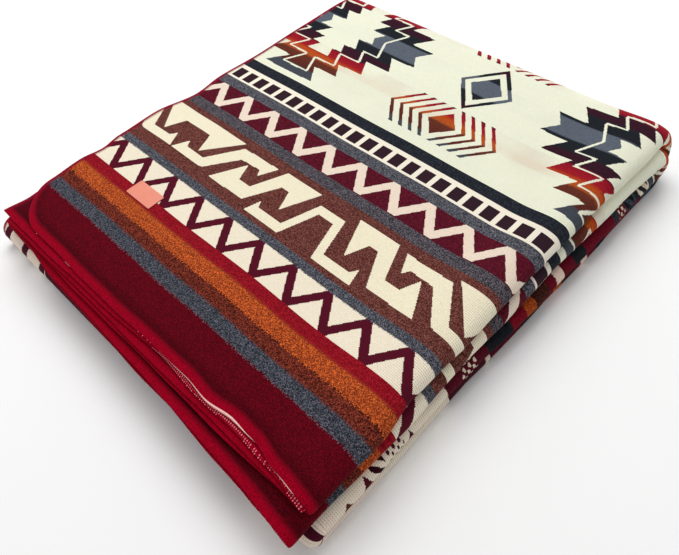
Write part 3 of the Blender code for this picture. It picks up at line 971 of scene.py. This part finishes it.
def open_strand(start, end, widest):
    """A strand along the top rim: a flat oval section that swells slowly and tapers fast, as the
    sine of a power of the share."""
    rings = int((end - start) / STRAND_STEP)
    share = np.linspace(0.0, 1.0, rings)
    radius = STRAND_THINNEST + widest * np.sin(np.pi * share**STRAND_SWELL) ** 0.8
    angle = 2 * np.pi * np.arange(STRAND_SIDES) / STRAND_SIDES
    turn = STRAND_TURN + radius[:, None] * np.sin(angle) / (CLOTH_THICKNESS / 2) * 0.9
    out = STRAND_LIFT + STRAND_FLATNESS * radius[:, None] * (1 + np.cos(angle))
    across_in = (start + (end - start) * share)[:, None]
    points = off_the_rim(across_in, False, np.clip(turn, -0.95, 0.95), out)
    return points.reshape(-1, 3), tube_faces(1, rings, STRAND_SIDES)


def joined(parts):
    """Puts several sets of points and faces in one."""
    points = np.empty((0, 3))
    faces = []
    for made_points, made_faces in parts:
        faces.extend([corner + len(points) for corner in face] for face in made_faces)
        points = np.concatenate((points, made_points))
    return points, faces


def worsted_thread(name, darker, lighter):
    """Worsted thread: soft and matt, with the light and dark of its twist."""
    material, tree = begin_material(name)
    place = add_node(tree, "TexCoord").outputs["Object"]
    twist = add_node(tree, "TexNoise", place, 700.0, 2.0, 0.6)
    colour = add_node(tree, "Mix.RGBA", twist, linear(darker), linear(lighter))
    finish_material(tree, {"Roughness": 0.8}, colour)
    return material


ticks = joined([rim_ticks(*row) for row in TICKS])
edge_thread = make_piece("edge_thread", *ticks, "alpaca_weave")
edge_thread.data.materials.append(worsted_thread("pink worsted thread", "#e8587a", "#ffa6aa"))
strands = joined([open_strand(*row) for row in STRANDS])
drawn_strand = make_piece("drawn_strand", *strands, "alpaca_weave")
# The strand's lighter peach is a painted highlight on the same pink thread.
drawn_strand.data.materials.append(worsted_thread("pink worsted thread with painted highlight", "#f0988c", "#ffe2d8"))


# The patch: a small piece of salmon vegetable-tanned leather, cut with rounded corners and
# stitched flat on the cloth near the top hem. It is plain.
PATCH_SIZE = (0.0465, 0.0250)
PATCH_MIDDLE = (0.117, 0.1255)
PATCH_CORNER = 0.0014
PATCH_GAP = 0.0003
PATCH_INSETS = (0.0012, 0.0003, 0.0, 0.0, 0.0002, 0.0008, 0.0022, 0.006, 0.0105)
PATCH_HEIGHTS = (0.0, 0.0, 0.0003, 0.0010, 0.00128, 0.0014, 0.00142, 0.00138, 0.00136)
PATCH_CELLS = 96


def patch_outline(inset):
    """Points around a rectangle with round corners: those of a wider ellipse are held within the
    middles of the corners, and then set off from there by the corner's radius."""
    half = np.array(PATCH_SIZE)[:, None] / 2 - inset
    angle = 2 * np.pi * np.arange(PATCH_CELLS) / PATCH_CELLS
    reach = 1.5 * half * np.stack((np.cos(angle), np.sin(angle)))
    core = np.clip(reach, PATCH_CORNER - half, half - PATCH_CORNER)
    return core + PATCH_CORNER * (reach - core) / np.linalg.norm(reach - core, axis=0)


def make_patch():
    """A pillow of stacked outlines: up the cut edge, over the skived rim and in to the middle."""
    x, y = np.stack([patch_outline(inset) for inset in PATCH_INSETS], axis=1)
    above = CLOTH_THICKNESS / 2 + PATCH_GAP + np.repeat(PATCH_HEIGHTS, PATCH_CELLS)
    points = in_frame((PATCH_MIDDLE[0] + x).ravel(), (PATCH_MIDDLE[1] + y).ravel(), above)
    index = np.arange(x.size).reshape(x.shape)
    following = np.roll(index, -1, axis=1)
    quads = np.stack((index[:-1], following[:-1], following[1:], index[1:]), axis=-1)
    faces = quads.reshape(-1, 4).tolist() + [index[0, ::-1].tolist(), index[-1].tolist()]
    return make_piece("leather_patch", points, faces, "leather_patch", sharp=50)


def salmon_leather():
    """Smooth vegetable-tanned leather, dyed salmon: fine grain and a soft satin."""
    material, tree = begin_material("salmon vegetable-tanned leather")
    place = add_node(tree, "TexCoord").outputs["Object"]
    grain = add_node(tree, "TexVoronoi", place, 1600.0, feature="F1")
    clouds = add_node(tree, "TexNoise", place, 90.0, 3.0, 0.6)
    colour = add_node(tree, "Mix.RGBA", clouds, linear("#dd7d64"), linear("#ee937b"))
    bump = add_node(tree, "Bump", 0.25, 0.0003, 1.0, grain.outputs["Distance"])
    finish_material(tree, {"Roughness": 0.5}, colour, bump)
    return material


patch = make_patch()
patch.data.materials.append(salmon_leather())
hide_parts("label")


# The studio: a plain pale floor, a wide soft light above and behind, a weaker one from the left,
# and a pale room around them.
FLOOR_HALF = 4.0
FLOOR_HEIGHT = -0.0005
FLOOR_CORNERS = ((-1, -1), (1, -1), (1, 1), (-1, 1))
floor_mesh = bpy.data.meshes.new("studio_floor")
floor_points = [(FLOOR_HALF * x, FLOOR_HALF * y, FLOOR_HEIGHT) for x, y in FLOOR_CORNERS]
floor_mesh.from_pydata(floor_points, [], [(0, 1, 2, 3)])
floor = bpy.data.objects.new("studio_floor", floor_mesh)
bpy.context.scene.collection.objects.link(floor)
paper, paper_tree = begin_material("matt white paper")
finish_material(paper_tree, {"Base Color": linear("#fdfdfd"), "Roughness": 0.9})
floor_mesh.materials.append(paper)

LIGHTS = (
    # name, place, size, watts
    ("soft_top", (-0.5, 0.6, 1.9), 1.6, 31.0),
    ("soft_left", (-1.6, -0.9, 1.1), 1.4, 4.6),
)
for name, place, size, watts in LIGHTS:
    lamp = bpy.data.lights.new(name, "AREA")
    lamp.shape = "SQUARE"
    lamp.size = size
    lamp.energy = watts
    light = bpy.data.objects.new(name, lamp)
    light.location = place
    light.rotation_euler = (-Vector(place)).to_track_quat("-Z", "Y").to_euler()
    bpy.context.scene.collection.objects.link(light)

world = bpy.data.worlds.new("pale_room")
world.use_nodes = True
room = world.node_tree.nodes["Background"]
room.inputs["Color"].default_value = (1.0, 1.0, 1.0, 1.0)
room.inputs["Strength"].default_value = 0.46
bpy.context.scene.world = world
bpy.context.scene.view_settings.view_transform = "Standard"

# The camera looks down on the front corner, as the photograph does.
CAMERA_PLACE = (0.45435, -0.38463, 0.60102)
CAMERA_RIGHT = (0.7104289, 0.69944504, -0.07789359)
CAMERA_DOWN = (0.51115636, -0.58890122, -0.62603078)
CAMERA_AHEAD = (-0.48374576, 0.40493455, -0.77589822)
FOCAL_LENGTH_MM = 34.72
SENSOR_MM = 36.0
camera_data = bpy.data.cameras.new("camera")
camera_data.lens = FOCAL_LENGTH_MM
camera_data.sensor_width = SENSOR_MM
camera = bpy.data.objects.new("camera", camera_data)
axes = Matrix((CAMERA_RIGHT, [-part for part in CAMERA_DOWN], [-part for part in CAMERA_AHEAD]))
camera.matrix_world = Matrix.Translation(CAMERA_PLACE) @ axes.transposed().to_4x4()
bpy.context.scene.collection.objects.link(camera)
bpy.context.scene.camera = camera
